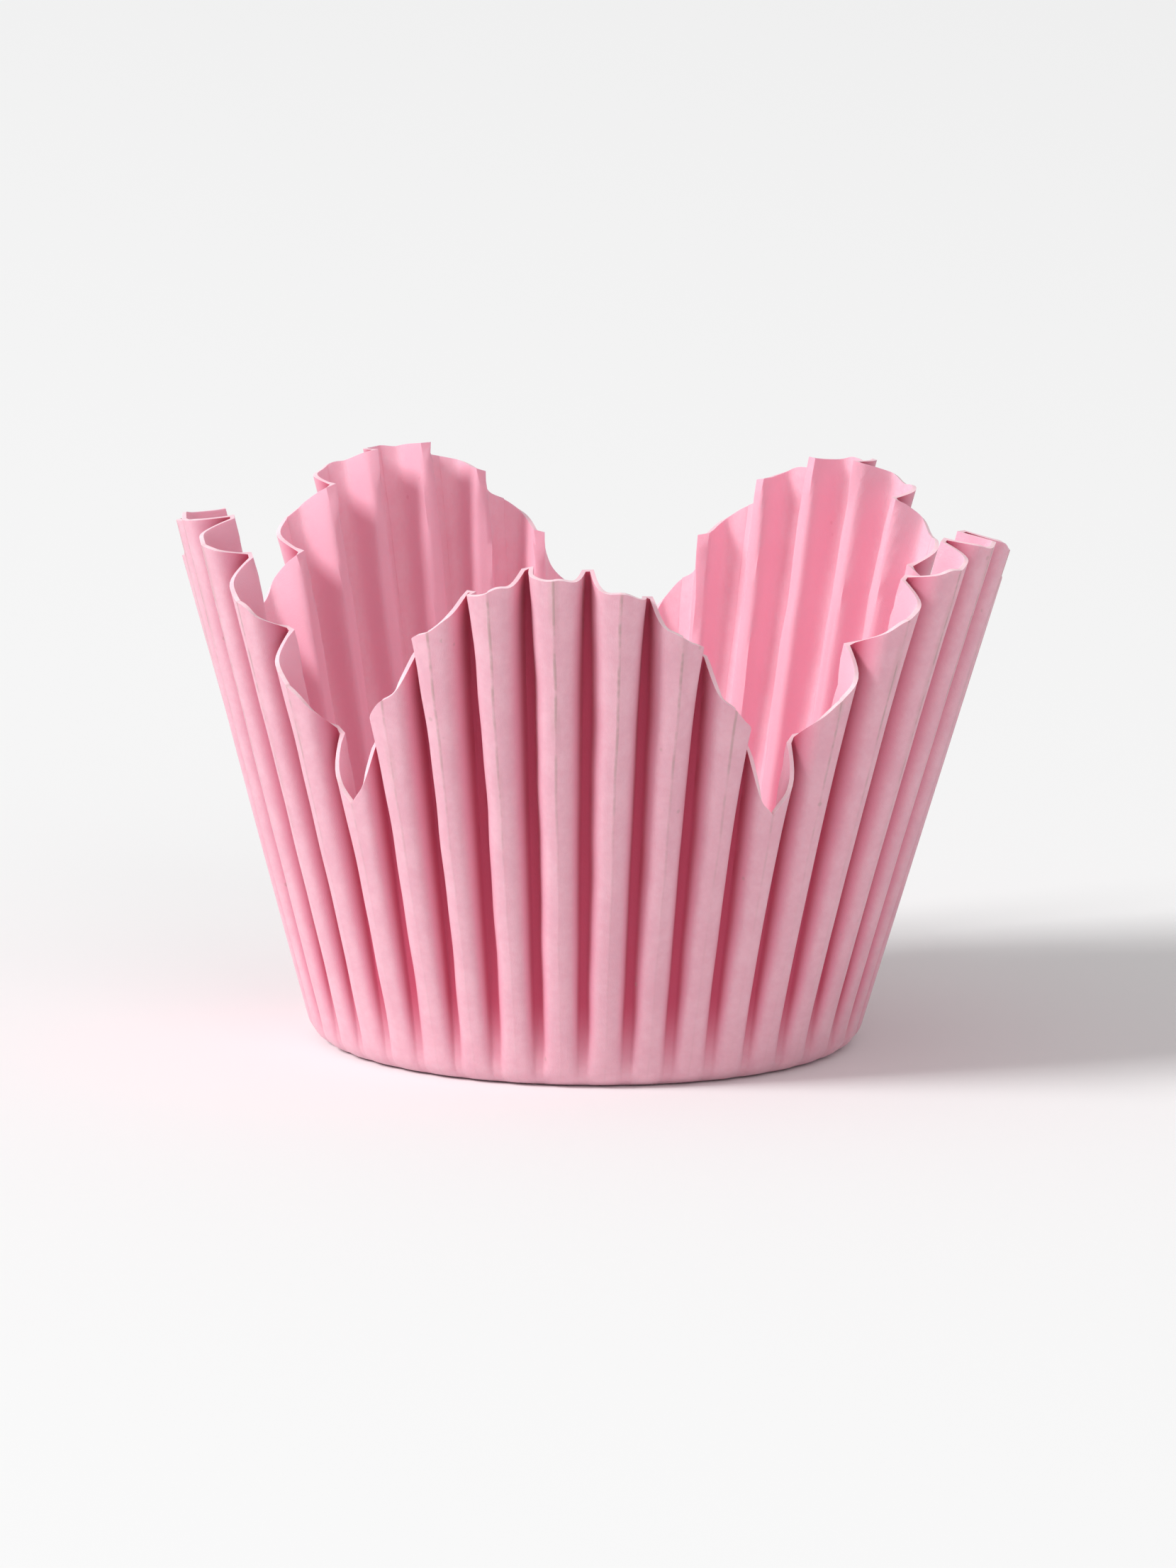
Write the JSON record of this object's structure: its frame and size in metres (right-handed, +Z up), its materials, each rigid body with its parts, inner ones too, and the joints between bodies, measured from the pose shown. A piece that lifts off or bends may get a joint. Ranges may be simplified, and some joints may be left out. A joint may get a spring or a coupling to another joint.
{
  "type": "paper baking cup",
  "caption": "Flat-bottomed paper baking cup with a pleated wall that flares up to a rim cut into rounded petals; it holds batter or a cake while it bakes and is served.",
  "frame": {"origin": "centre of the flat base's underside, on the cup's axis", "axes": "+Z up along the cup's axis, out of its mouth; the tip of one petal stands over -Y; +X to the right of it"},
  "size_m": [0.0766, 0.0749, 0.0496],
  "materials": {
    "paper": "matte"
  },
  "bodies": {
    "root": {"baking_cup": "paper"}
  },
  "joints": []
}
